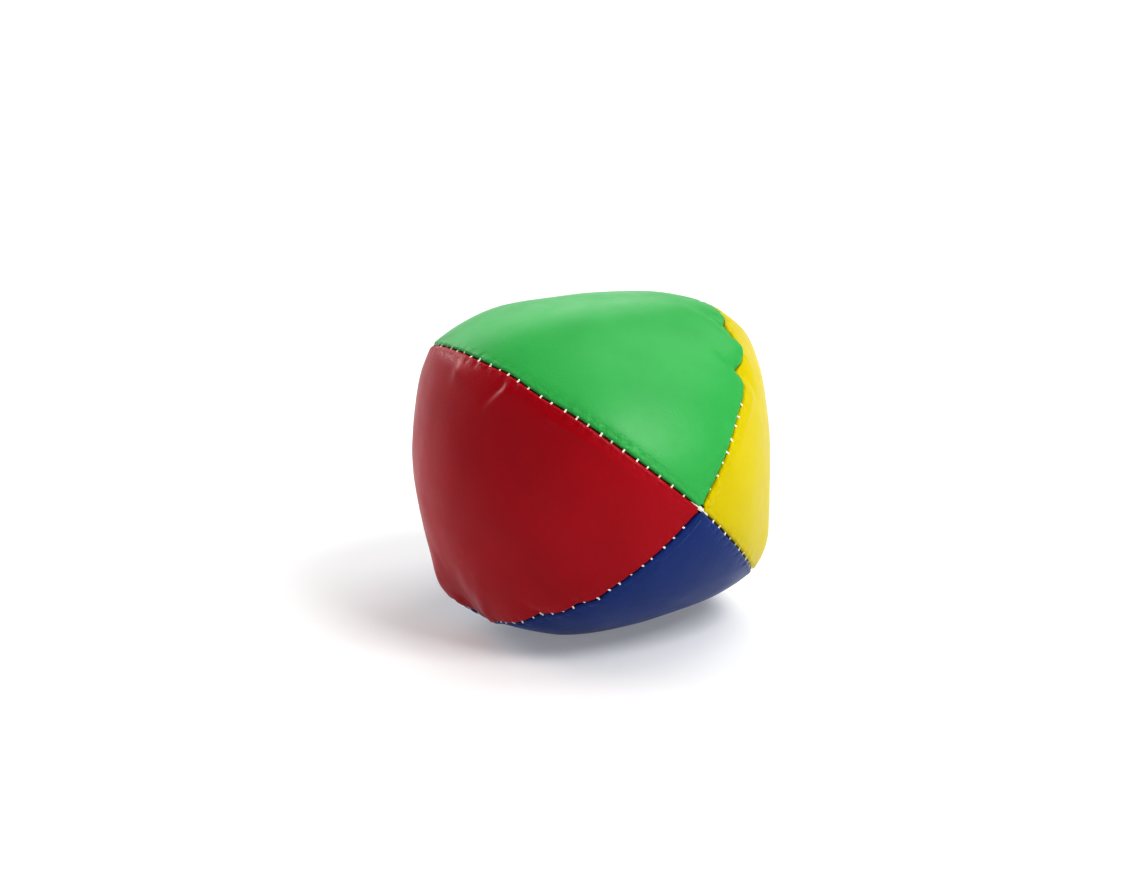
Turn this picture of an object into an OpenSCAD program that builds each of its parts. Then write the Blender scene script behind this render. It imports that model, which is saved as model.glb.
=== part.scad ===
// Four-panel juggling ball: a stitched leather beanbag that rests on the middle of one panel.
// The ball lies with its pole axis along Y: the green panel is on top, blue underneath,
// red to the left (-X) and yellow to the right (+X). Z = 0 is the surface that it rests on,
// and the origin is the middle of the flattened patch under the ball.

/* [Ball] */
// Distance across two opposite panels, through their middles
face_width = 60; // [55:1:70]
// Seam position as a share of half the face width: 0.7 is round, 1 is square
squareness = 0.8; // [0.77:0.01:0.86]
// How far each panel's axis of revolution lies behind the ball's centre; it lengthens the poles
axis_setback = 7; // [3:0.25:8]
// Depth by which the weight of the filling flattens the underside
settle_depth = 1.6; // [1:0.1:2.4]

/* [Leather] */
// Thickness of the panels
leather = 1.0; // [0.8:0.1:1.2]
// Width of leather turned in behind each seam
seam_allowance = 5; // [4.5:0.25:6]
// Space between the two turned-in edges of a seam
seam_gap = 0.3; // [0.2:0.05:0.4]

/* [Stitching] */
// Distance between needle holes
stitch_pitch = 2.5; // [2.3:0.1:3.4]
// Depth of the stitch line below the seam's outer edge
stitch_depth = 2.2; // [2.1:0.1:2.5]
// Diameter of the sewing thread
thread = 0.5; // [0.35:0.05:0.5]
// Diameter of the needle holes
needle_hole = 0.9; // [0.8:0.05:1]
// Stitches that the machine leaves out of the yellow and green seam, closed by hand
closing_stitches = 12; // [8:2:16]
// Stitches from the middle of that seam to the middle of the hand-closed stretch; minus is frontward
closing_shift = -6; // [-6:1:6]

/* [Hidden] */
$fn = 120;
arc_fn = 240;
hole_fn = 24;

green = [0.20, 0.72, 0.33];
yellow = [0.95, 0.83, 0.08];
blue = [0.10, 0.18, 0.45];
red = [0.68, 0.06, 0.12];
thread_white = [0.93, 0.92, 0.88];
millet = [0.86, 0.72, 0.42];

// A panel is a band of revolution about an axis along X, drawn here facing +Z. Its arc
// stands half_face from the ball's centre at the middle and meets the neighbours' arcs
// on the two seam planes, which pass through the pole axis at 45 degrees to it.
half_face = face_width / 2;
corner = squareness * half_face;
arc_sag = half_face - corner;
arc_radius = (corner * corner + arc_sag * arc_sag) / (2 * arc_sag);
pole_reach = sqrt(half_face * half_face + 2 * half_face * axis_setback);
centre_height = half_face - settle_depth;
big = 3 * face_width;

// Turns about the pole axis from +Z to each panel, and from +Z to each seam
turn_green = 0;
turn_yellow = 90;
turn_blue = 180;
turn_red = 270;
seam_green_yellow = 45;
seam_yellow_blue = 135;
seam_blue_red = 225;
seam_red_green = 315;

// Distances from a seam's middle plane: the two faces of one turned-in edge, the middle of a
// stitch that lies on it, and the ends of the leg that goes through the needle hole
leather_near = seam_gap / 2;
leather_far = leather_near + leather;
clearance = 0.05;
stitch_lie = leather_far + clearance + thread / 2;
leg = thread + 0.12;
stitch_trim = thread / 5;
leg_near = clearance / 2;
leg_far = stitch_lie + leg / 2;
hole_far = leather_far + 0.2;

// Space kept clear of the packed filling, and the pole holes that the knots sit in
filling_clearance = 0.3;
lobe_gap = stitch_lie + leg / 2 + filling_clearance;
knot_radius = 1.1;
knot_bar = 0.6;
knot_span = 3;
knot_inset = 0.9;
pole_hole_radius = 1.7;
closing_knot_radius = 0.4;

// Outer radius of the band at distance s along its own axis, with its surface inset by depth
function band_radius(s, depth) =
  half_face + axis_setback - arc_radius + sqrt(pow(arc_radius - depth, 2) - s * s);

// Place along the pole axis where a seam, inset by depth, is s away from both panels' middles
function seam_reach(s, depth) =
  sqrt(max(0, pow(band_radius(s, depth), 2) - pow(s + axis_setback, 2)));

// Largest s on the inset seam, where it crosses the ball's equator, found by halving
function seam_corner(depth, low, high, rounds) =
  rounds == 0 ? low :
  let (s = (low + high) / 2)
  band_radius(s, depth) > s + axis_setback
    ? seam_corner(depth, s, high, rounds - 1)
    : seam_corner(depth, low, s, rounds - 1);

// The stitch line lies in the seam plane. Its points are [out, along]: the distance out from
// the pole axis, and the distance along it. It runs from the front pole, over -Y, to the back.
stitch_corner = seam_corner(stitch_depth, 0, half_face, 30);
walk_step = 0.25;
walk = [
  for (a = [-90:walk_step:90])
    let (s = stitch_corner * cos(a))
    [s * sqrt(2), sign(a) * seam_reach(s, stitch_depth)]
];
walked = [
  for (i = 0, t = 0; i < len(walk);
       t = t + (i + 1 < len(walk) ? norm(walk[i + 1] - walk[i]) : 0), i = i + 1) t
];

// Needle holes at an even pitch along it, the same number on each side of the equator
pole_margin = 3.6;
seam_length = walked[len(walked) - 1];
half_count = floor((seam_length / 2 - pole_margin) / stitch_pitch);
hole_count = 2 * half_count + 1;
first_hole = seam_length / 2 - half_count * stitch_pitch;
function hole_at(i) =
  let (
    t = first_hole + i * stitch_pitch,
    k = len([for (w = walked) if (w < t) 1]),
    share = (t - walked[k - 1]) / (walked[k] - walked[k - 1])
  )
  walk[k - 1] + share * (walk[k] - walk[k - 1]);
holes = [for (i = [0:hole_count - 1]) hole_at(i)];
last_hole = hole_count - 1;
machine_least = 2;
closing_first = max(machine_least, half_count + closing_shift - closing_stitches / 2);
closing_last = min(last_hole - machine_least, closing_first + closing_stitches);

// Body of revolution whose surface is a panel's outside, facing +Z, inset by depth
module band_body(depth) {
  translate([0, 0, -axis_setback])
    rotate([0, 90, 0])
      rotate_extrude()
        intersection() {
          translate([half_face + axis_setback - arc_radius, 0])
            circle(arc_radius - depth, $fn = arc_fn);
          translate([0, -big / 2]) square([big, big]);
        }
}

// Quarter of space around +Z, kept a distance clear of both seam planes
module wedge(distance) {
  rise = distance * sqrt(2);
  rotate([90, 0, 0])
    linear_extrude(height = big, center = true)
      polygon([[0, rise], [big, big + rise], [-big, big + rise]]);
}

// Space above a height over the resting surface, seen from a panel that is turned into place
module above(height, turn) {
  rotate([0, -turn, 0])
    translate([-big / 2, -big / 2, height - centre_height])
      cube(big);
}

module in_place(turn) {
  translate([0, 0, centre_height]) rotate([0, turn, 0]) children();
}

// Straight round bar across a seam plane at a needle hole, from x = near to x = far
module cross_bar(hole, near, far, d) {
  translate([near, hole[1], hole[0]])
    rotate([0, 90, 0])
      cylinder(d = d, h = far - near, $fn = hole_fn);
}

// Stitch between two needle holes, lying at a distance x from the seam plane; it ends just
// inside the two legs, short of the next stitch
module stitch(from, to, x) {
  run = to - from;
  translate([x, from[1], from[0]])
    rotate([atan2(-run[1], run[0]), 0, 0])
      translate([0, 0, stitch_trim])
        cylinder(d = thread, h = norm(run) - 2 * stitch_trim, $fn = hole_fn);
}

// One panel facing +Z: a curved skin, and an edge turned in along each seam plane
module panel(turn) {
  difference() {
    intersection() {
      band_body(0);
      wedge(leather_near);
      above(0, turn);
    }
    intersection() {
      band_body(leather);
      wedge(leather_far);
      above(leather, turn);
    }
    band_body(seam_allowance);
    for (side = [-45, 45], hole = holes)
      rotate([0, side, 0]) cross_bar(hole, -hole_far, hole_far, needle_hole);
    rotate([90, 0, 0]) cylinder(r = pole_hole_radius, h = big, center = true);
  }
}

// Machine stitches on one side of a seam plane, between two needle holes
module machine_run(side, first, last) {
  for (i = [first:last])
    cross_bar(holes[i], min(side * leg_near, side * leg_far), max(side * leg_near, side * leg_far), leg);
  for (i = [first:last - 1])
    stitch(holes[i], holes[i + 1], side * stitch_lie);
}

module full_seam_thread(seam, side) {
  in_place(seam) machine_run(side, 0, last_hole);
}

// The machine sews this seam from each pole, and leaves a stretch between them open for filling
module interrupted_seam_thread(seam, side) {
  in_place(seam) {
    machine_run(side, 0, closing_first - 1);
    machine_run(side, closing_last + 1, last_hole);
  }
}

// Ladder stitch: one thread that crosses at every hole and runs on along alternate sides
module ladder_thread(seam) {
  in_place(seam) {
    for (i = [closing_first:closing_last])
      cross_bar(holes[i], -leg_far, leg_far, leg);
    for (i = [closing_first:closing_last - 1])
      stitch(holes[i], holes[i + 1], (i % 2 == 0 ? 1 : -1) * stitch_lie);
    knot_hole = holes[closing_last];
    translate([-(leather_far + clearance + closing_knot_radius), knot_hole[1], knot_hole[0]])
      sphere(closing_knot_radius, $fn = hole_fn);
  }
}

// Knot where the four seams' threads are tied together; end is -1 at the front, 1 at the back
module pole_knot(end) {
  translate([0, end * (pole_reach - knot_inset), centre_height]) {
    sphere(knot_radius);
    for (turn = [45, 135])
      rotate([0, turn, 0]) cylinder(d = knot_bar, h = knot_span, center = true);
  }
}

// Quarter of the packed seed, facing +Z: a core inside the turned-in edges, and a lobe
// between them that fills out the panel
module seed_quarter() {
  intersection() {
    band_body(seam_allowance + filling_clearance);
    wedge(0);
  }
  intersection() {
    band_body(leather + filling_clearance);
    wedge(lobe_gap);
  }
}

// The four quarters are one packed mass, flattened underneath like the ball
module packed_seed() {
  intersection() {
    union() {
      for (turn = [turn_green, turn_yellow, turn_blue, turn_red])
        in_place(turn) seed_quarter();
    }
    in_place(0) above(leather + filling_clearance, 0);
  }
}

module panel_green() { color(green) in_place(turn_green) panel(turn_green); }
module panel_yellow() { color(yellow) in_place(turn_yellow) panel(turn_yellow); }
module panel_blue() { color(blue) in_place(turn_blue) panel(turn_blue); }
module panel_red() { color(red) in_place(turn_red) panel(turn_red); }
module needle_thread_green_yellow() {
  color(thread_white) interrupted_seam_thread(seam_green_yellow, -1);
}
module bobbin_thread_green_yellow() {
  color(thread_white) interrupted_seam_thread(seam_green_yellow, 1);
}
module closing_thread() { color(thread_white) ladder_thread(seam_green_yellow); }
module needle_thread_yellow_blue() { color(thread_white) full_seam_thread(seam_yellow_blue, -1); }
module bobbin_thread_yellow_blue() { color(thread_white) full_seam_thread(seam_yellow_blue, 1); }
module needle_thread_blue_red() { color(thread_white) full_seam_thread(seam_blue_red, -1); }
module bobbin_thread_blue_red() { color(thread_white) full_seam_thread(seam_blue_red, 1); }
module needle_thread_red_green() { color(thread_white) full_seam_thread(seam_red_green, -1); }
module bobbin_thread_red_green() { color(thread_white) full_seam_thread(seam_red_green, 1); }
module front_pole_knot() { color(thread_white) pole_knot(-1); }
module back_pole_knot() { color(thread_white) pole_knot(1); }
module filling() { color(millet) packed_seed(); }

panel_green();
panel_yellow();
panel_blue();
panel_red();
needle_thread_green_yellow();
bobbin_thread_green_yellow();
closing_thread();
needle_thread_yellow_blue();
bobbin_thread_yellow_blue();
needle_thread_blue_red();
bobbin_thread_blue_red();
needle_thread_red_green();
bobbin_thread_red_green();
front_pole_knot();
back_pole_knot();
filling();
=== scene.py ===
"""Looks of the four-panel juggling ball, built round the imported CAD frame.

All shapes are worked out in millimetres round the ball's centre, with the pole axis along Y as in
the CAD part, and become metres when a mesh is made.
"""
import math

import bpy
import numpy as np
from mathutils import Matrix, Vector, noise
from mathutils.kdtree import KDTree


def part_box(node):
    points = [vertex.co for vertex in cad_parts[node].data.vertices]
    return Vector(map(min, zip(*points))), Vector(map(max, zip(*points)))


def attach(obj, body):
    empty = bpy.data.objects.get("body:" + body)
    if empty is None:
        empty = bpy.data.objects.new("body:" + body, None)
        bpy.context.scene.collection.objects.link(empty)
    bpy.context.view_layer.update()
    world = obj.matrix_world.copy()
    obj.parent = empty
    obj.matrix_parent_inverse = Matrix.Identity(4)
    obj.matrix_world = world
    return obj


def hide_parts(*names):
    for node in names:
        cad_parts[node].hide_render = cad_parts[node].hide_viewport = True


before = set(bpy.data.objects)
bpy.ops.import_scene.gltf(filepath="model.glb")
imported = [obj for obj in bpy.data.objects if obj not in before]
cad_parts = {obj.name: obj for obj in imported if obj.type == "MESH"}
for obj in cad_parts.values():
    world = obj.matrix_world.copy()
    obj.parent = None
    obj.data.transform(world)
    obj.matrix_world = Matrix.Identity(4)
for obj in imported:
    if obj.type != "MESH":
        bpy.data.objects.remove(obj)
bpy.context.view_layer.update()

MM = 0.001

# ---------------------------------------------------------------- the ball's driving sizes (mm)
HALF_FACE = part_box("panel_yellow")[1].x / MM
CENTRE_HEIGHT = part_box("panel_green")[1].z / MM - HALF_FACE
KNOT_INSET = 0.9     # how far the middle of a pole knot lies below the pole
POLE_REACH = -sum(c.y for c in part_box("front_pole_knot")) / 2 / MM + KNOT_INSET
SETBACK = (POLE_REACH ** 2 - HALF_FACE ** 2) / (2 * HALF_FACE)
SQUARENESS = 0.8     # seam position as a share of half the face width
CORNER = SQUARENESS * HALF_FACE
ARC_SAG = HALF_FACE - CORNER
ARC_RADIUS = (CORNER ** 2 + ARC_SAG ** 2) / (2 * ARC_SAG)
CENTRE = np.array([0.0, 0.0, CENTRE_HEIGHT])

LEATHER = 0.85       # thickness of the leather, and its share of that at a panel's tip
LEATHER_AT_TIP = 0.35
ALLOWANCE = 4.2      # width turned in behind a seam, and how it narrows towards the tips
TIP_ALLOWANCE = 2.2
TIP_WIDENING = 0.35
SEAM_GAP = 0.12      # space between the two turned-in edges
ROLL_REACH = 0.72    # how far from the seam the leather starts to roll in
TIP_ROLL = 0.55      # the same near a tip, as a share of the panel's half width
TIP_CLEAR = 0.55     # where a panel stops short of the pole
PITCH = 2.5          # between needle holes
POLE_MARGIN = 2.2    # along a seam without stitches before the pole
SCALLOP = 0.12       # how deep a stitch pulls the leather in, and how far that reaches
SCALLOP_REACH = 0.55
SCALLOP_LENGTH = 0.5

THREAD_RADIUS = 0.10
STITCH_DEPTH = 0.56  # of a stitch's hole below the ideal seam, and how far that varies
STITCH_RISE, STITCH_DROP = -0.08, 0.14
LYING_DEPTH = 1.5    # of the stitches that lie inside, below the holes
LOOP_OVERLAP = 0.02  # by which the loops of the two threads pass the middle of the seam
LOOP_HALF_WIDTH = 0.9     # from a loop's middle to each leg, in thread radii
LOOP_NARROWING = 0.9      # its share of that where the loops meet, and at the feet of the legs
LEG_SPREAD = 2.0
CLOSING_DEPTH = 0.9  # by which the ladder stitch lies deeper than the machine stitches

# Mesh steps: rows along a panel, and columns across its face, its rolled edge and its flap. The
# face's columns are partly evenly spaced and partly crowded towards the seams.
ROWS_PER_STITCH = 8
MAIN_COLUMNS = 60
ROLL_COLUMNS = 7
FLAP_COLUMNS = 4
EVEN_SHARE, CROWDED_SHARE = 0.45, 0.55

PANELS = {"green": 0, "yellow": 90, "blue": 180, "red": 270}
SEAMS = {
    "green_yellow": 45,
    "yellow_blue": 135,
    "blue_red": 225,
    "red_green": 315,
}


# ---------------------------------------------------------------- small maths helpers
def turned(points, degrees):
    """Points turned about the pole axis, the way the CAD part turns a panel from +Z."""
    a = math.radians(degrees)
    x, y, z = points[..., 0], points[..., 1], points[..., 2]
    return np.stack([x * math.cos(a) + z * math.sin(a), y, z * math.cos(a) - x * math.sin(a)], -1)


def unit(v):
    """Vectors at length 1."""
    return v / np.maximum(np.linalg.norm(v, axis=-1, keepdims=True), 1e-12)


def smoothstep(low, high, x):
    """0 below low, 1 above high, and a smooth rise between them."""
    t = np.clip((x - low) / (high - low), 0, 1)
    return t * t * (3 - 2 * t)


NOISE_STEP = np.array([17.3, 5.1, 9.7])    # from one seed's noise to the next
NOISE_GAIN = 1.6


def lumps(points, size, seed):
    """Smooth noise from about -1 to 1 at each point, with lumps of the given size in mm."""
    shape = points.shape[:-1]
    flat = points.reshape(-1, 3) / size + seed * NOISE_STEP
    return np.array([noise.noise(Vector(p)) for p in flat]).reshape(shape) * NOISE_GAIN


# ---------------------------------------------------------------- the ideal four-panel shape
def band_radius(s):
    """A panel's radius about its own axis, at distance s to the side of its middle."""
    return HALF_FACE + SETBACK - ARC_RADIUS + np.sqrt(ARC_RADIUS ** 2 - s * s)


def seam_table():
    """Arc length along a seam from the equator, with the matching panel half width and y."""
    steps = 4000
    a = np.linspace(-math.pi / 2, math.pi / 2, steps + 1)
    s = CORNER * np.cos(a)
    y = np.sign(a) * np.sqrt(np.maximum(band_radius(s) ** 2 - (s + SETBACK) ** 2, 0))
    step = np.hypot(np.diff(s) * math.sqrt(2), np.diff(y))
    arc = np.concatenate([[0], np.cumsum(step)])
    return arc - arc[-1] / 2, s, y


SEAM_ARC, SEAM_S, SEAM_Y = seam_table()
HALF_SEAM = SEAM_ARC[-1]
MID_ANGLE = math.acos(SETBACK / (HALF_FACE + SETBACK))


def seam_half_width(t):
    return np.interp(t, SEAM_ARC, SEAM_S)


def seam_y(t):
    return np.interp(t, SEAM_ARC, SEAM_Y)


def seam_point(t, seam):
    """Ideal seam point round the ball's centre, at arc length t, on the seam at that turn."""
    s = seam_half_width(t)
    flat = np.stack([0 * s, seam_y(t), s * math.sqrt(2)], -1)
    return turned(flat, seam)


def seam_frame(t, seam):
    """(point, inward direction in the seam plane, direction of the seam) at arc length t."""
    h = 0.05
    p = seam_point(t, seam)
    along = unit(seam_point(t + h, seam) - seam_point(t - h, seam))
    across = turned(np.array([1.0, 0, 0]) + 0 * p, seam)
    inward = unit(np.cross(along, across))
    inward = np.where((inward * p).sum(-1, keepdims=True) > 0, -inward, inward)
    return p, inward, along


def panel_point(t, w):
    """Ideal surface point of a panel facing +Z: t along it, w from -1 to 1 across it."""
    x = w * seam_half_width(t)
    y_mid = (HALF_FACE + SETBACK) * np.sin(MID_ANGLE * t / HALF_SEAM)
    y = y_mid * (1 - w * w) + seam_y(t) * w * w
    z = np.sqrt(np.maximum(band_radius(x) ** 2 - y * y, 0)) - SETBACK
    return np.stack([x, y, z], -1)


# ---------------------------------------------------------------- needle holes
HOLE_COUNT = int((HALF_SEAM - POLE_MARGIN) / PITCH)
CLOSING_FIRST, CLOSING_LAST = -12, 0      # holes of the hand-closed stretch, from the equator
HOLE_SEED = 11
HOLE_SHIFT = 0.32
LEAST_PULL, MOST_PULL = 0.5, 1.3


def uneven_holes():
    """Each seam's needle holes, from its turn: places along it, and how hard each pulls."""
    rng = np.random.default_rng(HOLE_SEED)
    holes = {}
    for turn in SEAMS.values():
        k = np.arange(-HOLE_COUNT, HOLE_COUNT + 1)
        places = k * PITCH + rng.uniform(-HOLE_SHIFT, HOLE_SHIFT, len(k))
        holes[turn] = (places, rng.uniform(LEAST_PULL, MOST_PULL, len(k)))
    return holes


HOLES = uneven_holes()


# ---------------------------------------------------------------- a closed grid round the ball
def ideal_inset(p):
    """How far points round the centre lie inside the ideal surface, and off the seam planes."""
    ax, ay, az = np.abs(p[..., 0]), p[..., 1], np.abs(p[..., 2])
    outward, across = np.maximum(ax, az), np.minimum(ax, az)
    centre_gap = HALF_FACE + SETBACK - ARC_RADIUS
    rho = np.hypot(outward + SETBACK, ay)
    return ARC_RADIUS - np.hypot(rho - centre_gap, across), (outward - across) / math.sqrt(2)


def cube_directions(n):
    """Unit directions on a cube's even grid, n cells along each edge, and its quads."""
    g = np.tan(np.linspace(-math.pi / 4, math.pi / 4, n + 1))
    verts, index, faces = [], {}, []
    for axis in range(3):
        for sign in (-1, 1):
            ids = np.zeros((n + 1, n + 1), int)
            for i in range(n + 1):
                for j in range(n + 1):
                    v = [0.0, 0.0, 0.0]
                    v[axis], v[(axis + 1) % 3], v[(axis + 2) % 3] = sign, g[i], g[j]
                    key = tuple(round(c, 6) for c in v)
                    if key not in index:
                        index[key] = len(verts)
                        verts.append(v)
                    ids[i, j] = index[key]
            for i in range(n):
                for j in range(n):
                    f = (ids[i, j], ids[i + 1, j], ids[i + 1, j + 1], ids[i, j + 1])
                    faces.append(tuple(int(k) for k in (f if sign > 0 else f[::-1])))
    return unit(np.array(verts)), faces


OUTSIDE = 1.4        # in half face widths: no part of the ball is this far from its centre
HALVINGS = 30


def radial_points(directions, wanted_inset):
    """The point in each direction that lies wanted_inset(off_seam) inside the ideal surface."""
    low, high = np.zeros(len(directions)), np.full(len(directions), OUTSIDE * HALF_FACE)
    for _ in range(HALVINGS):
        mid = (low + high) / 2
        inset, off_seam = ideal_inset(directions * mid[:, None])
        inside = inset > wanted_inset(off_seam)
        low, high = np.where(inside, mid, low), np.where(inside, high, mid)
    return directions * low[:, None]


# ---------------------------------------------------------------- what a filled ball does
# Soft pushes of the loose filling on the ideal shape: (place, push, reach), all in mm round the
# ball's centre.
PUSHES = [
    ((27, -9, 18), (1.9, -0.6, 1.2), 9),
    ((3, 8, 28), (-0.2, -0.3, -1.6), 11),
    ((-24.5, 10, -22), (-1.5, 0.5, -0.5), 5.0),
    ((-24, 3, -24), (2.4, 0.0, -0.4), 6),
    ((-21, 18, 19), (-0.2, 0.1, 0.1), 8),
    ((-10, 15, 25.5), (0.1, 0.15, 0.6), 6),
    ((23.5, -18.7, -15), (0.9, -0.7, -0.55), 4.5),
    ((28.9, -6.2, 19.2), (1.0, -0.3, 0.75), 4),
    ((-19, -2.5, -27), (0.0, 0.0, 1.1), 3.8),
    ((3, -12, -27), (0.0, 0.1, 1.2), 7.5),
]

# Where the thread pulls a seam out of line: (seam, place along it, push towards the panel on the
# seam's + side, push outward, reach) in mm. The hand-closed stretch is the most uneven.
SEAM_PULLS = [
    ("green_yellow", -4.0, -1.6, -1.1, 4.0),
    ("green_yellow", -11.5, -1.5, -1.0, 4.0),
    ("green_yellow", -14.0, -1.0, -0.4, 1.6),
    ("green_yellow", -18.5, -1.3, -0.4, 2.8),
    ("green_yellow", -21.5, 0.2, 0.2, 1.9),
    ("green_yellow", -25.5, -1.3, -0.8, 1.4),
    ("green_yellow", -30.5, 0.3, 0.2, 2.4),
    ("green_yellow", 4.0, 0.5, -0.3, 2.0),
    ("blue_red", -17.0, 0.5, -0.8, 3.0),
    ("blue_red", -26.0, 0.4, -0.2, 1.8),
    ("blue_red", -30.0, -0.3, 0.2, 1.8),
    ("blue_red", -0.5, -1.0, 0.6, 3.0),
    ("blue_red", 7.0, -1.5, 0.0, 4.0),
    ("red_green", -12.0, 0.25, -0.1, 2.5),
    ("red_green", -20.0, -0.25, 0.1, 3.0),
    ("red_green", 21.0, 0.4, -0.3, 2.5),
    ("yellow_blue", -20.0, -0.3, -0.2, 2.5),
    ("yellow_blue", 6.0, 0.4, -0.2, 3.0),
]

# Creases in the leather: (panel, side, start, end, rise, width). Each end is (place along the
# panel, distance from its seam) in mm, and a crease fades towards its end.
CREASES = [
    ("green", 1, (-20.5, 0.5), (-9.0, 9.0), 0.6, 2.1),
    ("green", 1, (-16.8, 0.3), (-7.0, 7.0), -0.5, 1.9),
    ("green", 1, (-25.5, 0.0), (-23.5, 4.0), -0.5, 0.9),
    ("green", 1, (-14.0, 0.0), (-12.0, 2.5), -0.4, 0.8),
    ("green", 1, (-2.0, 0.0), (-3.5, 4.5), -0.35, 1.0),
    ("yellow", -1, (-8.0, 0.2), (-10.0, 5.0), -0.45, 1.1),
    ("yellow", -1, (-25.0, 0.0), (-27.0, 3.0), -0.3, 0.8),
    ("yellow", -1, (-29.0, 1.4), (-40.0, 1.2), 0.16, 0.7),
    ("yellow", -1, (-52.5, 0.2), (-42.0, 0.4), 0.26, 0.6),
    ("blue", 1, (-53.3, 0.3), (-43.0, 0.4), 0.3, 0.5),
    ("red", 1, (-23.0, 1.6), (-43.0, 1.5), 0.17, 0.55),
    ("red", 1, (-1.0, 2.6), (-7.0, 3.6), 0.5, 1.7),
    ("red", 1, (-12.0, 1.5), (-9.5, 5.0), -0.3, 0.8),
    ("red", 1, (-13.5, 1.5), (-11.0, 5.5), 0.25, 0.9),
    ("red", -1, (6.0, 1.5), (1.0, 7.0), -0.6, 2.0),
    ("red", -1, (12.5, 1.5), (9.5, 7.0), 0.6, 2.4),
    ("red", -1, (-2.5, 1.5), (-6.0, 6.0), 0.5, 2.0),
    ("red", -1, (-17.0, 0.0), (-15.5, 3.0), -0.3, 1.0),
    ("red", -1, (-26.0, 0.0), (-25.0, 3.0), -0.2, 0.8),
]

CREASE_FADE = 0.7        # share of its height that a crease loses by its end

# The cloth pass. It runs in metres, 20 times life size.
SIM_SCALE = 0.02
SIM_CELLS = 46
SIM_FRAMES = 26
HELD_WITHIN = 0.02       # of a seam plane: these points stay put
START_LUMPS = 0.05       # unevenness that the wrinkles grow from, and its size
START_LUMP_SIZE = 3.0
GATHER = 0.25            # how much longer the leather is beside a seam, and how far that reaches
GATHER_REACH = 4.5
GATHER_PATCH = 9.0       # patches of more and less gathered leather, and how much they differ
GATHER_EVEN, GATHER_UNEVEN = 0.6, 0.4
SWELL_ROUNDS = 40        # smoothing that tells the swelling from the wrinkles
SWELL_KEPT = 0.15
WRINKLE_GAIN = 1.3
CAP = 0.6                # furthest that the cloth pass may move a point
LOOKUP_POINTS = 7
LOOKUP_BLUR = 1.2

UNEVEN_FILL = 0.13       # height of the broad unevenness of the filling, and its size
UNEVEN_FILL_SIZE = 11.0
TABLE_SOFTNESS = 0.5     # how gradually the skin bends flat on the table
TABLE_SINK = 0.02


def seam_pushes():
    """The seam pulls as soft pushes."""
    out = []
    for seam, place, sideways, outward, reach in SEAM_PULLS:
        turn = SEAMS[seam]
        across = turned(np.array([1.0, 0, 0]), turn)
        out.append((seam_point(np.array([place]), turn)[0],
                    across * sideways + turned(np.array([0, 0, 1.0]), turn) * outward, reach))
    return out


ALL_PUSHES = PUSHES + seam_pushes()


def pushed(p):
    """Ideal points moved by every soft push, which fades with distance from its place."""
    out = p.copy()
    for place, push, reach in ALL_PUSHES:
        d2 = ((p - np.array(place)) ** 2).sum(-1, keepdims=True)
        out = out + np.array(push) * np.exp(-d2 / (2 * reach * reach))
    return out


def smoothed(values, edges, rounds):
    """Values on a mesh's vertices averaged with their neighbours' again and again."""
    count = np.zeros(len(values))
    np.add.at(count, edges[:, 0], 1)
    np.add.at(count, edges[:, 1], 1)
    for _ in range(rounds):
        total = np.zeros_like(values)
        np.add.at(total, edges[:, 0], values[edges[:, 1]])
        np.add.at(total, edges[:, 1], values[edges[:, 0]])
        values = (values + total / count[:, None]) / 2
    return values


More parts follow.
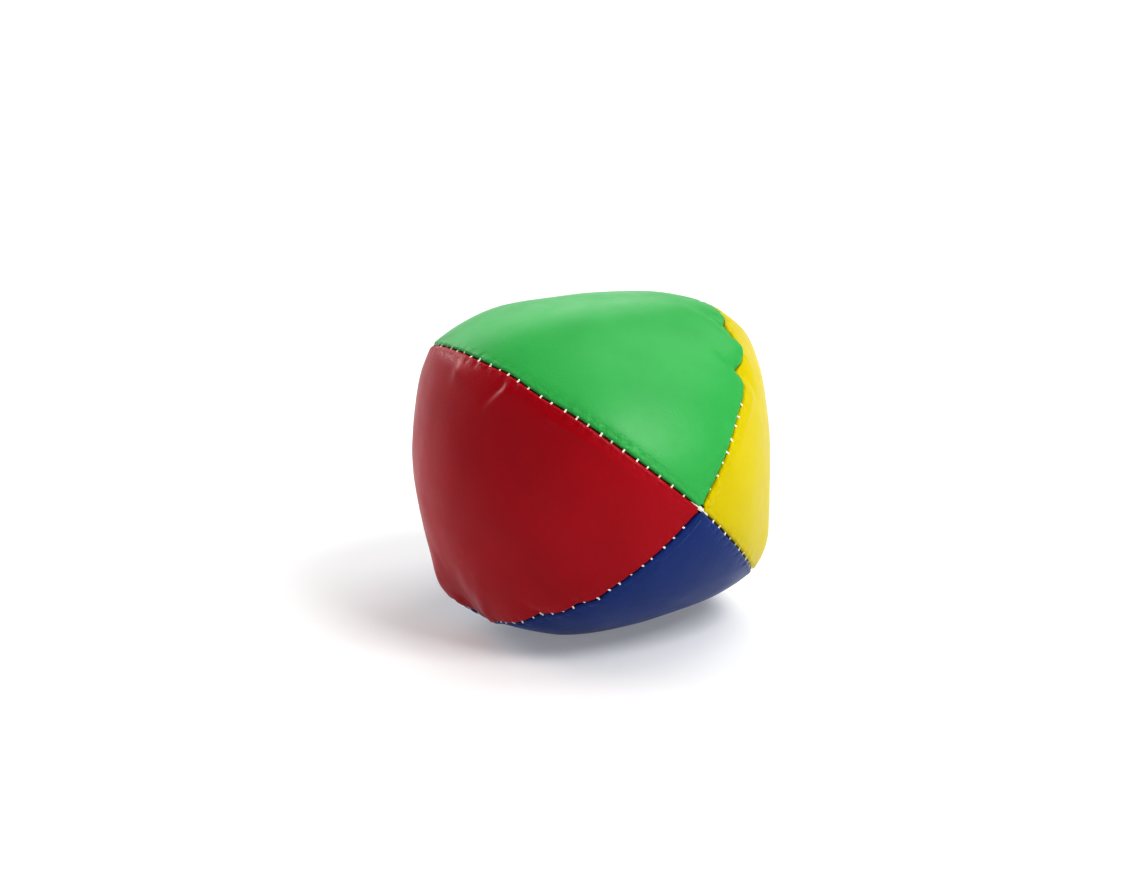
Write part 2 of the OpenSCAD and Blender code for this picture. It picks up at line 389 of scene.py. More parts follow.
def inflated_skin():
    """Cloth pass on the closed skin: held along its seams, blown up by the filling.

    The leather beside each seam is a little longer than the thread that gathers it, so it
    puckers. Returns the still points in mm and how far each one moved.
    """
    directions, faces = cube_directions(SIM_CELLS)
    start = radial_points(directions, lambda off_seam: 0.0)
    _, off_seam = ideal_inset(start)
    start = pushed(start)
    uneven = GATHER_EVEN + GATHER_UNEVEN * lumps(start, GATHER_PATCH, 2)
    lumpy = start + unit(start) * (START_LUMPS * lumps(start, START_LUMP_SIZE, 6))[:, None]
    mesh = bpy.data.meshes.new("skin_cloth")
    mesh.from_pydata([tuple(v) for v in lumpy * SIM_SCALE], [], faces)
    mesh.update()
    obj = bpy.data.objects.new("skin_cloth", mesh)
    bpy.context.scene.collection.objects.link(obj)
    held = obj.vertex_groups.new(name="held")
    gathered = obj.vertex_groups.new(name="gathered")
    gather = np.clip(np.exp(-(off_seam / GATHER_REACH) ** 2) * uneven, 0, 1)
    for i, gap in enumerate(off_seam):
        if gap < HELD_WITHIN:
            held.add([i], 1.0, "REPLACE")
        gathered.add([i], float(gather[i]), "REPLACE")
    cloth = obj.modifiers.new("Cloth", "CLOTH")
    c = cloth.settings
    c.quality = 6
    c.mass = 0.005
    c.air_damping = 1.0
    c.tension_stiffness = c.compression_stiffness = 30
    c.shear_stiffness = 20
    c.bending_stiffness = 0.05
    c.tension_damping = c.compression_damping = c.shear_damping = 1
    c.bending_damping = 1.0
    c.use_pressure = True
    c.uniform_pressure_force = 10.0
    c.vertex_group_mass = "held"
    c.pin_stiffness = 1.0
    c.vertex_group_shrink = "gathered"
    c.shrink_min = 0.0
    c.shrink_max = -GATHER
    c.effector_weights.gravity = 0.0
    cloth.point_cache.frame_start = 1
    cloth.point_cache.frame_end = SIM_FRAMES
    scene = bpy.context.scene
    for number in range(1, SIM_FRAMES + 1):
        scene.frame_set(number)
    result = obj.evaluated_get(bpy.context.evaluated_depsgraph_get()).to_mesh()
    end = np.empty(len(start) * 3, np.float32)
    result.vertices.foreach_get("co", end)
    end = end.reshape(-1, 3) / SIM_SCALE
    edges = np.empty(len(mesh.edges) * 2, np.int32)
    mesh.edges.foreach_get("vertices", edges)
    edges = edges.reshape(-1, 2)
    scene.frame_set(1)
    bpy.data.objects.remove(obj)
    bpy.data.meshes.remove(mesh)
    moved = end - start
    swell = smoothed(moved, edges, SWELL_ROUNDS)
    moved = WRINKLE_GAIN * smoothed(moved - swell, edges, 1) + SWELL_KEPT * swell
    far = np.linalg.norm(moved, axis=-1, keepdims=True)
    moved = moved * np.minimum(1, CAP / np.maximum(far, 1e-9))
    return start, moved


def skin_lookup():
    """A function giving the cloth pass's movement at any points near the skin."""
    start, moved = inflated_skin()
    tree = KDTree(len(start))
    for i, v in enumerate(start):
        tree.insert(v, i)
    tree.balance()

    def movement(p):
        flat = pushed(p).reshape(-1, 3)
        out = np.zeros_like(flat)
        for k, v in enumerate(flat):
            near = tree.find_n(v, LOOKUP_POINTS)
            first = near[0][2]
            weights = [math.exp(-((d - first) ** 2 + 2 * first * (d - first)) / LOOKUP_BLUR)
                       for _, _, d in near]
            total = sum(weights)
            for (_, i, _), weight in zip(near, weights):
                out[k] += moved[i] * (weight / total)
        return out.reshape(p.shape)

    return movement


def settled(p, anchor=None):
    """Ideal points round the centre, pushed about by the filling and flattened by the table.

    Points turned in behind a seam move with their anchor on the skin.
    """
    anchor = p if anchor is None else anchor
    out = p + (pushed(anchor) - anchor) + skin_movement(anchor)
    out = out + unit(anchor) * (UNEVEN_FILL * lumps(anchor, UNEVEN_FILL_SIZE, 4))[..., None]
    z = out[..., 2] + CENTRE_HEIGHT
    above_table = (z + np.sqrt(z * z + TABLE_SOFTNESS * TABLE_SOFTNESS)) / 2 - TABLE_SINK
    out[..., 2] = above_table - CENTRE_HEIGHT
    return out


# ---------------------------------------------------------------- leather panels
def scallops(t, seam):
    """How far the stitches pull a seam's leather in at each t: most at the needle holes."""
    pull = np.zeros(len(t))
    for hole, strength in zip(*HOLES[seam % 360]):
        pull = np.maximum(pull, strength * np.exp(-((t - hole) / SCALLOP_LENGTH) ** 2))
    return SCALLOP * pull


def creases(t, dist, turn):
    """Height of a panel's creases at each row t and distance from its seams."""
    colour = next(c for c, v in PANELS.items() if v == turn)
    middle = dist.shape[1] // 2
    side_of = np.where(np.arange(dist.shape[1]) < middle, -1, 1)[None, :]
    rows = np.repeat(t[:, None], dist.shape[1], 1)
    height = np.zeros_like(dist)
    for panel, side, start, end, rise, width in CREASES:
        if panel != colour:
            continue
        run = (end[0] - start[0], end[1] - start[1])
        run2 = run[0] ** 2 + run[1] ** 2
        share = ((rows - start[0]) * run[0] + (dist - start[1]) * run[1]) / run2
        share = np.clip(share, 0, 1)
        gap2 = (rows - start[0] - share * run[0]) ** 2 + (dist - start[1] - share * run[1]) ** 2
        fade = 1 - CREASE_FADE * share
        height += np.where(side_of == side, rise * fade * np.exp(-gap2 / width ** 2), 0)
    return height


def panel_grid(turn):
    """Outer surface of one panel as rows along it, with rolled edges and turned-in flaps.

    Returns the rows' places along the seam, the ideal points, their anchors on the skin, the
    direction into the ball, and each point's distance from its seam.
    """
    half_rows = int((HALF_SEAM - TIP_CLEAR) / (PITCH / ROWS_PER_STITCH))
    t = np.arange(-half_rows, half_rows + 1) * (PITCH / ROWS_PER_STITCH)
    half = seam_half_width(t)
    roll = np.minimum(ROLL_REACH, TIP_ROLL * half)
    u = np.linspace(-1, 1, MAIN_COLUMNS)
    spread = EVEN_SHARE * u + CROWDED_SHARE * np.sin(u * math.pi / 2)
    w_edge = 1 - roll / np.maximum(half, 1e-6)
    main = [panel_point(t, k * w_edge) for k in spread]
    distance = [(1 - abs(k) * w_edge) * half for k in spread]
    sides = {}
    for side in (-1, 1):
        flat_seam = 45 * side
        seam, inward, along = seam_frame(t, flat_seam)
        away = -turned(np.array([1.0, 0, 0]) + 0 * seam, flat_seam) * side
        corner = seam + away * SEAM_GAP / 2
        start = main[0] if side < 0 else main[-1]
        into = unit(start - corner)
        reach = np.linalg.norm(start - corner, axis=-1, keepdims=True)
        half_angle = np.arccos(np.clip((into * inward).sum(-1, keepdims=True), -1, 1)) / 2
        radius = reach * np.tan(half_angle)
        centre = corner + unit(into + inward) * radius / np.sin(half_angle)
        first = unit(start - centre)
        end = corner + inward * reach
        last = unit(end - centre)
        total = np.arccos(np.clip((first * last).sum(-1, keepdims=True), -1, 1))
        points, anchors = [], []
        for k in range(1, ROLL_COLUMNS + 1):
            f = k / ROLL_COLUMNS
            mix = (np.sin((1 - f) * total) * first + np.sin(f * total) * last) / np.sin(total)
            points.append(centre + radius * mix)
            anchors.append(start * (1 - f) + seam * f)
        flap_reach = np.minimum(ALLOWANCE, TIP_WIDENING * half + TIP_ALLOWANCE)[:, None]
        for k in range(1, FLAP_COLUMNS + 1):
            points.append(end + inward * (flap_reach - reach) * (k / FLAP_COLUMNS))
            anchors.append(seam)
        sides[side] = (points, anchors, inward)
    grid = np.stack(sides[-1][0][::-1] + main + sides[1][0], 1)
    anchor = np.stack(sides[-1][1][::-1] + main + sides[1][1], 1)
    inward = np.zeros_like(grid)
    middle = grid.shape[1] // 2
    inward[:, :middle] = sides[-1][2][:, None]
    inward[:, middle:] = sides[1][2][:, None]
    zero = np.zeros((len(t), ROLL_COLUMNS + FLAP_COLUMNS))
    dist = np.concatenate([zero, np.stack(distance, 1) - roll[:, None], zero], 1)
    return t, turned(grid, turn), turned(anchor, turn), turned(inward, turn), dist


def grid_normals(grid):
    """Unit normals of a grid of points."""
    along = np.gradient(grid, axis=0)
    across = np.gradient(grid, axis=1)
    return unit(np.cross(along, across))


def closed_sheet(outer, inner):
    """Vertices and faces of a sheet with thickness, from its outer and inner grids."""
    rows, cols = outer.shape[:2]
    verts = np.concatenate([outer.reshape(-1, 3), inner.reshape(-1, 3)])
    shift = rows * cols
    faces = []
    for i in range(rows - 1):
        for j in range(cols - 1):
            a = i * cols + j
            b, c, d = a + 1, a + cols + 1, a + cols
            faces.append((a, b, c, d))
            faces.append((shift + a, shift + d, shift + c, shift + b))
    rim = [i * cols for i in range(rows)]
    rim += [(rows - 1) * cols + j for j in range(1, cols)]
    rim += [i * cols + cols - 1 for i in range(rows - 2, -1, -1)]
    rim += [j for j in range(cols - 2, 0, -1)]
    for k, a in enumerate(rim):
        b = rim[(k + 1) % len(rim)]
        faces.append((a, b, shift + b, shift + a))
    return verts, faces


def new_object(name, verts, faces, material, node, attributes=None):
    """A smooth mesh object that rides on the part, from points in mm round the ball's centre."""
    mesh = bpy.data.meshes.new(name)
    mesh.from_pydata([tuple(v) for v in (verts + CENTRE) * MM], [], faces)
    mesh.update()
    mesh.shade_smooth()
    for key, values in (attributes or {}).items():
        layer = mesh.attributes.new(key, "FLOAT", "POINT")
        layer.data.foreach_set("value", np.asarray(values, np.float32))
    mesh.materials.append(material)
    obj = bpy.data.objects.new(name, mesh)
    bpy.context.scene.collection.objects.link(obj)
    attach(obj, "root")
    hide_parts(node)
    return obj


TIP_START, TIP_END = 0.3, 3.0     # half widths between which a tip's leather thickens
CREASED_REACH = 1.0               # of the fine creasing beside a seam


def make_panel(colour, turn, material):
    """One leather panel: the settled sheet with its creases, given its thickness."""
    t, grid, anchor, inward, dist = panel_grid(turn)
    middle = grid.shape[1] // 2
    scallop = np.exp(-(dist / SCALLOP_REACH) ** 2)
    scallop[:, :middle] *= scallops(t, turn - 45)[:, None]
    scallop[:, middle:] *= scallops(t, turn + 45)[:, None]
    raised = creases(t, dist, turn)[..., None] * unit(grid)
    outer = settled(grid + raised, anchor) + inward * scallop[..., None]
    normals = grid_normals(outer)
    facing = np.sign((normals[:, middle] * unit(outer)[:, middle]).sum(-1).mean())
    normals = normals * facing
    full = smoothstep(TIP_START, TIP_END, seam_half_width(t))[:, None, None]
    inner = outer - normals * LEATHER * (LEATHER_AT_TIP + (1 - LEATHER_AT_TIP) * full)
    if facing < 0:
        outer, inner, dist = outer[:, ::-1], inner[:, ::-1], dist[:, ::-1]
    verts, faces = closed_sheet(outer, inner)
    near_seam = np.exp(-(dist / CREASED_REACH) ** 2).ravel()
    attributes = {"near_seam": np.concatenate([near_seam, near_seam])}
    obj = new_object("leather_panel_" + colour, verts, faces, material,
                     "panel_" + colour, attributes)


# ---------------------------------------------------------------- threads
SOME_DIRECTION = [0.3, 0.5, 0.8]   # not along any thread
END_LENGTH, END_RADIUS = 0.6, 0.5  # of a tube's tapered end, in radii of the tube


def tube(path, radius, sides=8):
    """A tube with tapered ends along the points of path."""
    path = np.asarray(path, float)
    along = unit(np.gradient(path, axis=0))
    normal = np.cross(along[0], SOME_DIRECTION)
    normal = normal / np.linalg.norm(normal)
    rings = []
    first = path[0] - along[0] * radius * END_LENGTH
    last = path[-1] + along[-1] * radius * END_LENGTH
    centres = [first] + list(path) + [last]
    alongs = [along[0]] + list(along) + [along[-1]]
    radii = [radius * END_RADIUS] + [radius] * len(path) + [radius * END_RADIUS]
    for c, d, r in zip(centres, alongs, radii):
        normal = normal - d * (normal @ d)
        normal = normal / np.linalg.norm(normal)
        other = np.cross(d, normal)
        for k in range(sides):
            a = 2 * math.pi * k / sides
            rings.append(c + r * (math.cos(a) * normal + math.sin(a) * other))
    n = len(centres)
    faces = []
    for i in range(n - 1):
        for k in range(sides):
            a, b = i * sides + k, i * sides + (k + 1) % sides
            faces.append((a, b, b + sides, a + sides))
    faces.append(tuple(range(sides))[::-1])
    faces.append(tuple((n - 1) * sides + k for k in range(sides)))
    return np.array(rings), faces


def joined(parts):
    """Several meshes as one list of vertices and one of faces."""
    verts, faces, shift = [], [], 0
    for v, f in parts:
        verts.append(v)
        faces += [tuple(i + shift for i in face) for face in f]
        shift += len(v)
    return np.concatenate(verts), faces


def curved(points, steps):
    """Catmull-Rom curve through the points."""
    p = np.asarray(points, float)
    p = np.concatenate([[2 * p[0] - p[1]], p, [2 * p[-1] - p[-2]]])
    out = []
    for i in range(1, len(p) - 2):
        for k in range(steps):
            f = k / steps
            a, b, c, d = p[i - 1], p[i], p[i + 1], p[i + 2]
            out.append(0.5 * (2 * b + (c - a) * f + (2 * a - 5 * b + 4 * c - d) * f * f
                              + (3 * b - a - 3 * c + d) * f ** 3))
    out.append(p[-2])
    return np.array(out)


def seam_stitch(k, seam):
    """(seam point, inward, across, along) at stitch k of a seam."""
    place = HOLES[seam][0][k + HOLE_COUNT]
    p, inward, along = (v[0] for v in seam_frame(np.array([place]), seam))
    return p, inward, turned(np.array([1.0, 0, 0]), seam), along


def lock_stitches(seam, side, first, last, rng):
    """One thread of a lockstitch: lying stitches inside, and a loop to the seam's middle."""
    lie = SEAM_GAP / 2 + LEATHER + THREAD_RADIUS
    points, anchors = [], []
    for k in range(first, last + 1):
        p, inward, across, along = seam_stitch(k, seam)
        across = across * side
        hole = p + inward * (STITCH_DEPTH + rng.uniform(STITCH_RISE, STITCH_DROP))
        shift = along * THREAD_RADIUS * LOOP_HALF_WIDTH
        points += [hole + across * lie + inward * LYING_DEPTH - shift * LEG_SPREAD,
                   hole + across * lie / 2 - shift,
                   hole - across * LOOP_OVERLAP - shift * LOOP_NARROWING,
                   hole - across * LOOP_OVERLAP + shift * LOOP_NARROWING,
                   hole + across * lie / 2 + shift,
                   hole + across * lie + inward * LYING_DEPTH + shift * LEG_SPREAD]
        anchors += [p] * 6
    return tube(settled(curved(points, 3), curved(anchors, 3)), THREAD_RADIUS)


STITCH_SEED = 5


def make_threads(material):
    """The needle thread and the bobbin thread of each machine-sewn seam."""
    rng = np.random.default_rng(STITCH_SEED)
    for seam, turn in SEAMS.items():
        for kind, side in (("needle", -1), ("bobbin", 1)):
            runs = [(-HOLE_COUNT, HOLE_COUNT)]
            if seam == "green_yellow":
                runs = [(-HOLE_COUNT, CLOSING_FIRST - 1), (CLOSING_LAST + 1, HOLE_COUNT)]
            verts, faces = joined([lock_stitches(turn, side, *run, rng) for run in runs])
            new_object(kind + "_stitches_" + seam, verts, faces, material,
                       kind + "_thread_" + seam)


def make_closing_thread(material):
    """The ladder stitch that closes the ball by hand, crossing the seam at every hole."""
    turn = SEAMS["green_yellow"]
    lie = SEAM_GAP / 2 + LEATHER + THREAD_RADIUS
    points, anchors = [], []
    for k in range(CLOSING_FIRST, CLOSING_LAST + 1):
        p, inward, across, along = seam_stitch(k, turn)
        hole = p + inward * (STITCH_DEPTH + CLOSING_DEPTH)
        side = 1 if k % 2 == 0 else -1
        points += [hole - across * side * lie, hole, hole + across * side * lie]
        anchors += [p] * 3
    verts, faces = tube(settled(curved(points, 4), curved(anchors, 4)), THREAD_RADIUS)
    new_object("closing_ladder_stitch", verts, faces, material, "closing_thread")


KNOT_STRANDS = 10
STRAND_SIDE, STRAND_TWIST = 0.32, 0.15     # spread of the strands, and how far each one slants
STRAND_DEPTH = 0.36                        # below the ideal seam edge, and how far it varies
STRAND_DROP, STRAND_RISE = -0.05, 0.15
STRAND_TUCK = 0.5                          # by which a strand's ends go deeper into the seam
STRAND_BEND = 0.6                          # share of a strand's length that lies level
SHORT_ENDS, LONG_ENDS = (1.0, 2.2), (1.2, 3.4)
POLE_STEP = 0.01                           # keeps the middle of a strand off the pole itself


def make_pole_knot(name, node, end, seam, material, seed):
    """Thread ends of the four seams, tied in a flat bundle over the pole.

    The bundle lies along the seam at the given turn and the one opposite it.
    """
    rng = np.random.default_rng(seed)
    across = turned(np.array([1.0, 0, 0]), seam)
    parts = []

    def spot(along, side, sunk):
        turn = seam if along > 0 else seam + 180
        p = seam_point(np.array([end * (HALF_SEAM - abs(along))]), turn)[0]
        return p - unit(p) * (sunk + abs(side) / 2) + across * side

    for _ in range(KNOT_STRANDS):
        side = rng.uniform(-STRAND_SIDE, STRAND_SIDE)
        twist = rng.uniform(-STRAND_TWIST, STRAND_TWIST)
        depth = STRAND_DEPTH - rng.uniform(STRAND_DROP, STRAND_RISE)
        first, last = -rng.uniform(*SHORT_ENDS), rng.uniform(*LONG_ENDS)
        points = [spot(first, side - twist, depth + STRAND_TUCK),
                  spot(first * STRAND_BEND, side - twist, depth),
                  spot(POLE_STEP, side, depth),
                  spot(last * STRAND_BEND, side + twist, depth),
                  spot(last, side + twist, depth + STRAND_TUCK)]
        parts.append(tube(settled(curved(points, 5)), THREAD_RADIUS))
    verts, faces = joined(parts)
    new_object(name, verts, faces, material, node)


# ---------------------------------------------------------------- filling
FILLING_CELLS = 90
FILLING_INSET = 1.9                        # below the outer surface
GROOVE_DEPTH = 3.6                         # of the groove at each seam, and its two half widths
GROOVE_FLOOR, GROOVE_EDGE = 1.4, 2.6
SEED_SIZE = 2.0
SEED_DENT = 0.012                          # depth between seeds, as a share of the radius
FILLING_BOTTOM = 1.4                       # above the table


def make_filling(material):
    """Packed seed: a closed lump inside the skin, grooved where the seam flaps stand in it."""
    directions, faces = cube_directions(FILLING_CELLS)

    def inset(off_seam):
        return FILLING_INSET + GROOVE_DEPTH * (1 - smoothstep(GROOVE_FLOOR, GROOVE_EDGE, off_seam))

    p = radial_points(directions, inset)
    grain = np.array([noise.voronoi(Vector(v / SEED_SIZE))[0][0] for v in p])
    q = settled(p * (1 - SEED_DENT * grain[:, None]))
    q[:, 2] = np.maximum(q[:, 2], -CENTRE_HEIGHT + FILLING_BOTTOM)
    obj = new_object("millet_filling", q, faces, material, "filling")


# ---------------------------------------------------------------- materials
DUST = 0.55                                # strength of the specks of dust
DUST_COLOUR = (0.7, 0.66, 0.62, 1)
LEATHER_GLOSS = 0.2
ROUGHNESS = 0.36
SMOOTHER, ROUGHER = 0.06, 0.08             # how far the roughness varies round that


class Nodes:
    """A material's node tree with short calls for adding and linking nodes."""

    def __init__(self, name):
        self.material = bpy.data.materials.new(name)
        self.material.use_nodes = True
        self.tree = self.material.node_tree
        self.shader = self.tree.nodes["Principled BSDF"]

    def add(self, kind, **values):
        """A new node; each value goes to its input of that name, or else to its property."""
        node = self.tree.nodes.new(kind)
        for key, value in values.items():
            if key in node.inputs:
                node.inputs[key].default_value = value
            else:
                setattr(node, key, value)
        return node

    def link(self, a, out, b, into):
        self.tree.links.new(a.outputs[out], b.inputs[into])

    def noise(self, coords, scale, detail, rough):
        n = self.add("ShaderNodeTexNoise", Scale=scale, Detail=detail, Roughness=rough)
        self.link(coords, "Object", n, "Vector")
        return n

    def ramp(self, source, out, low, high, a, b):
        """A node that turns values from low to high into values from a to b."""
        r = self.add("ShaderNodeMapRange")
        r.inputs["From Min"].default_value = low
        r.inputs["From Max"].default_value = high
        r.inputs["To Min"].default_value = a
        r.inputs["To Max"].default_value = b
        self.link(source, out, r, "Value")
        return r


def leather(name, colour, deep, gloss=(1, 1, 1)):
    """Smooth coated synthetic leather: fine grain, faint mottling, creased along the seams."""
    m = Nodes(name)
    coords = m.add("ShaderNodeTexCoord")
    mottle = m.noise(coords, 90.0, 4.0, 0.55)
    tone = m.ramp(mottle, "Fac", 0.3, 0.7, 0.0, 1.0)
    mix = m.add("ShaderNodeMix", data_type="RGBA")
    mix.inputs["A"].default_value = (*colour, 1)
    mix.inputs["B"].default_value = (*deep, 1)
    m.link(tone, "Result", mix, "Factor")
    dust_size = m.add("ShaderNodeTexVoronoi", Scale=260.0, Randomness=1.0)
    m.link(coords, "Object", dust_size, "Vector")
    dust_here = m.noise(coords, 130.0, 1.0, 0.5)
    dot = m.ramp(dust_size, "Distance", 0.03, 0.055, 1.0, 0.0)
    place = m.ramp(dust_here, "Fac", 0.62, 0.66, 0.0, DUST)
    dust = m.add("ShaderNodeMath", operation="MULTIPLY")
    m.link(dot, "Result", dust, 0)
    m.link(place, "Result", dust, 1)
    dusted = m.add("ShaderNodeMix", data_type="RGBA")
    dusted.inputs["B"].default_value = DUST_COLOUR
    m.tree.links.new(mix.outputs["Result"], dusted.inputs["A"])
    m.link(dust, "Value", dusted, "Factor")
    m.tree.links.new(dusted.outputs["Result"], m.shader.inputs["Base Color"])
    smear = m.noise(coords, 160.0, 5.0, 0.6)
    rough = m.ramp(smear, "Fac", 0.25, 0.75, ROUGHNESS - SMOOTHER, ROUGHNESS + ROUGHER)
    m.link(rough, "Result", m.shader, "Roughness")
    grain = m.add("ShaderNodeTexVoronoi", Scale=2300.0)
    m.link(coords, "Object", grain, "Vector")
    pores = m.noise(coords, 3200.0, 2.0, 0.5)
    crease = m.noise(coords, 1300.0, 3.0, 0.6)
    seam = m.add("ShaderNodeAttribute", attribute_name="near_seam")
    crease_height = m.add("ShaderNodeMath", operation="MULTIPLY")
    m.link(crease, "Fac", crease_height, 0)
    m.link(seam, "Fac", crease_height, 1)
    grain_bump = m.add("ShaderNodeBump", Strength=0.10, Distance=0.00012)
    m.link(grain, "Distance", grain_bump, "Height")
    pore_bump = m.add("ShaderNodeBump", Strength=0.12, Distance=0.00008)
    m.link(pores, "Fac", pore_bump, "Height")
    m.link(grain_bump, "Normal", pore_bump, "Normal")
    crease_bump = m.add("ShaderNodeBump", Strength=0.55, Distance=0.00035)
    m.link(crease_height, "Value", crease_bump, "Height")
    m.link(pore_bump, "Normal", crease_bump, "Normal")
    m.link(crease_bump, "Normal", m.shader, "Normal")
    m.shader.inputs["Specular IOR Level"].default_value = LEATHER_GLOSS
    m.shader.inputs["Specular Tint"].default_value = (*gloss, 1)
    return m.material


def thread_material():
    """White spun polyester thread."""
    m = Nodes("thread_white")
    coords = m.add("ShaderNodeTexCoord")
    fuzz = m.noise(coords, 2500.0, 3.0, 0.6)
    mix = m.add("ShaderNodeMix", data_type="RGBA")
    mix.inputs["A"].default_value = (0.68, 0.65, 0.56, 1)
    mix.inputs["B"].default_value = (0.92, 0.90, 0.82, 1)
    m.link(fuzz, "Fac", mix, "Factor")
    m.tree.links.new(mix.outputs["Result"], m.shader.inputs["Base Color"])
    bump = m.add("ShaderNodeBump", Strength=0.6, Distance=0.0001)
    m.link(fuzz, "Fac", bump, "Height")
    m.link(bump, "Normal", m.shader, "Normal")
    m.shader.inputs["Roughness"].default_value = 0.7
    return m.material


def seed_material():
    """Millet: small rounded grains, with painted shade that darkens each grain towards its edge,
    in the gaps between grains.
    """
    m = Nodes("filling_millet")
    coords = m.add("ShaderNodeTexCoord")
    cells = m.add("ShaderNodeTexVoronoi", Scale=480.0)
    m.link(coords, "Object", cells, "Vector")
    # Painted shade: light in each grain's middle, darker out in the sunken gaps between grains
    ramp = m.add("ShaderNodeValToRGB")
    ramp.color_ramp.elements[0].color = (0.78, 0.58, 0.24, 1)
    ramp.color_ramp.elements[1].color = (0.42, 0.26, 0.08, 1)
    m.link(cells, "Distance", ramp, "Fac")
    m.link(ramp, "Color", m.shader, "Base Color")
    bump = m.add("ShaderNodeBump", Strength=0.8, Distance=0.0006, invert=True)
    m.link(cells, "Distance", bump, "Height")
    m.link(bump, "Normal", m.shader, "Normal")
    m.shader.inputs["Roughness"].default_value = 0.6
    return m.material


# ---------------------------------------------------------------- studio
def area_light(name, place, target, size, power):
    """A white softbox at place, facing target: metres and watts."""
    data = bpy.data.lights.new(name, "AREA")
    data.shape = "RECTANGLE"
    data.size, data.size_y = size
    data.energy = power
    obj = bpy.data.objects.new(name, data)
    obj.location = place
    obj.rotation_euler = (Vector(target) - Vector(place)).to_track_quat("-Z", "Y").to_euler()
    bpy.context.scene.collection.objects.link(obj)


# The backdrop's sizes are in metres
FLOOR_RADIUS, COVE_RADIUS, WALL_TOP = 2.0, 0.6, 1.1
FLOOR_RINGS, COVE_RINGS, BACKDROP_SIDES = 8, 9, 96
PAPER = (0.62, 0.62, 0.62, 1)
# Painted light: the paper's own glow, weaker near the ball and stronger further out
GLOW_START, GLOW_END = 0.4, 2.2            # from the middle, between which the paper glows more
GLOW_NEAR, GLOW_FAR = 0.18, 0.32


def make_backdrop():
    """White paper floor swept up into a wall all round, glowing as painted light: the glow, a
    little stronger towards the edge, lightens the ball's contact shadow and its underside.
    """
    sides = BACKDROP_SIDES
    profile = [(FLOOR_RADIUS * k / FLOOR_RINGS, 0.0) for k in range(1, FLOOR_RINGS + 1)]
    for k in range(1, COVE_RINGS + 1):
        a = math.radians(90 * k / COVE_RINGS)
        profile.append((FLOOR_RADIUS + COVE_RADIUS * math.sin(a), COVE_RADIUS * (1 - math.cos(a))))
    profile.append((FLOOR_RADIUS + COVE_RADIUS, WALL_TOP))
    verts, faces = [(0.0, 0.0, 0.0)], []
    for radius, height in profile:
        for k in range(sides):
            a = 2 * math.pi * k / sides
            verts.append((radius * math.cos(a), radius * math.sin(a), height))
    faces += [(0, 1 + k, 1 + (k + 1) % sides) for k in range(sides)]
    for ring in range(len(profile) - 1):
        for k in range(sides):
            a, b = 1 + ring * sides + k, 1 + ring * sides + (k + 1) % sides
            faces.append((a, a + sides, b + sides, b))
    mesh = bpy.data.meshes.new("backdrop")
    mesh.from_pydata(verts, [], faces)
    mesh.shade_smooth()
    m = Nodes("backdrop_paper_painted_glow")
    m.shader.inputs["Base Color"].default_value = PAPER
    m.shader.inputs["Roughness"].default_value = 0.8
    # Painted light: the paper glows white, lightening the contact shadow under the ball and the
    # ball's underside
    m.shader.inputs["Emission Color"].default_value = (1, 1, 1, 1)
    coords = m.add("ShaderNodeTexCoord")
    from_middle = m.add("ShaderNodeVectorMath", operation="LENGTH")
    m.link(coords, "Object", from_middle, "Vector")
    painted_glow = m.ramp(from_middle, "Value", GLOW_START, GLOW_END, GLOW_NEAR, GLOW_FAR)
    m.link(painted_glow, "Result", m.shader, "Emission Strength")
    mesh.materials.append(m.material)
    obj = bpy.data.objects.new("backdrop", mesh)
    bpy.context.scene.collection.objects.link(obj)


# The camera: angles in degrees round the ball, then metres. The ball's centre lies a little to
# the right of the middle of the frame and below it.
VIEW_AZIMUTH, VIEW_ELEVATION, VIEW_ROLL = -29.9, 17.0, 2.8
VIEW_DISTANCE = 0.8
FIELD_WIDTH = 0.1976
BALL_RIGHT, BALL_DOWN = 0.00387, 0.00297
SENSOR_WIDTH = 36


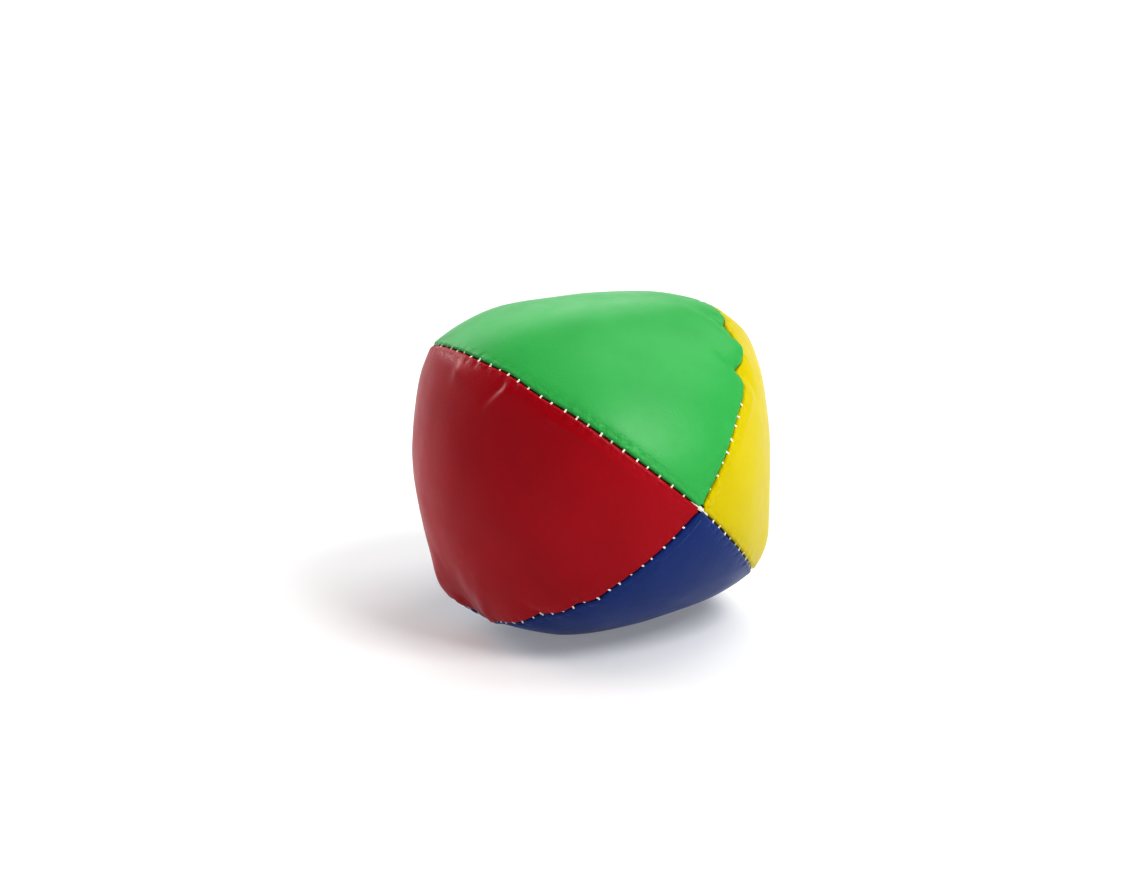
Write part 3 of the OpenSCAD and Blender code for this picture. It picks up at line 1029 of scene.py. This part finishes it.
def make_camera():
    """The photograph's view of the ball."""
    a, e, r = (math.radians(v) for v in (VIEW_AZIMUTH, VIEW_ELEVATION, VIEW_ROLL))
    back = Vector((math.sin(a) * math.cos(e), -math.cos(a) * math.cos(e), math.sin(e)))
    right = Vector((math.cos(a), math.sin(a), 0))
    up = back.cross(right)
    right, up = (right * math.cos(r) - up * math.sin(r), right * math.sin(r) + up * math.cos(r))
    centre = Vector((0, 0, CENTRE_HEIGHT * MM))
    place = centre + back * VIEW_DISTANCE - right * BALL_RIGHT + up * BALL_DOWN
    data = bpy.data.cameras.new("camera")
    data.sensor_width = SENSOR_WIDTH
    data.lens = data.sensor_width * VIEW_DISTANCE / FIELD_WIDTH
    data.clip_start = 0.01
    obj = bpy.data.objects.new("camera", data)
    obj.matrix_world = Matrix((
        (right.x, up.x, back.x, place.x),
        (right.y, up.y, back.y, place.y),
        (right.z, up.z, back.z, place.z),
        (0, 0, 0, 1)))
    bpy.context.scene.collection.objects.link(obj)
    bpy.context.scene.camera = obj


# Each softbox: (name, place, size, power), in metres and watts
SOFTBOXES = [
    ("key_softbox", (0.2, -0.62, 0.68), (0.4, 0.4), 5.2),
    ("overhead_softbox", (0.7, 0.0, 1.3), (1.2, 1.2), 10.0),
    ("back_softbox", (-0.05, 1.15, 0.8), (2.2, 0.8), 8.0),
    ("left_rear_light", (-0.34, 1.1, 0.46), (0.5, 0.36), 2.8),
]
ROOM_LIGHT = 0.04


def make_studio():
    """Backdrop, lights and the way that the picture is developed."""
    make_backdrop()
    for name, place, size, power in SOFTBOXES:
        area_light(name, place, (0, 0, CENTRE_HEIGHT * MM), size, power)
    world = bpy.data.worlds.new("studio")
    world.use_nodes = True
    world.node_tree.nodes["Background"].inputs["Color"].default_value = (1, 1, 1, 1)
    world.node_tree.nodes["Background"].inputs["Strength"].default_value = ROOM_LIGHT
    bpy.context.scene.world = world
    bpy.context.scene.view_settings.view_transform = "Standard"
    bpy.context.scene.view_settings.look = "High Contrast"


# ---------------------------------------------------------------- putting it together
make_camera()
make_studio()
LEATHERS = {
    "green": leather("leather_green", (0.053, 0.375, 0.095), (0.045, 0.34, 0.084)),
    "yellow": leather("leather_yellow", (0.54, 0.45, 0.002), (0.51, 0.42, 0.002), (1, 0.92, 0.2)),
    "blue": leather("leather_blue", (0.014, 0.042, 0.185), (0.012, 0.036, 0.16)),
    "red": leather("leather_red", (0.36, 0.0035, 0.014), (0.32, 0.003, 0.0115)),
}
skin_movement = skin_lookup()
for colour, turn in PANELS.items():
    make_panel(colour, turn, LEATHERS[colour])
THREAD = thread_material()
make_threads(THREAD)
make_closing_thread(THREAD)
make_pole_knot("front_pole_threads", "front_pole_knot", -1, SEAMS["yellow_blue"], THREAD, seed=3)
make_pole_knot("back_pole_threads", "back_pole_knot", 1, SEAMS["green_yellow"], THREAD, seed=8)
make_filling(seed_material())
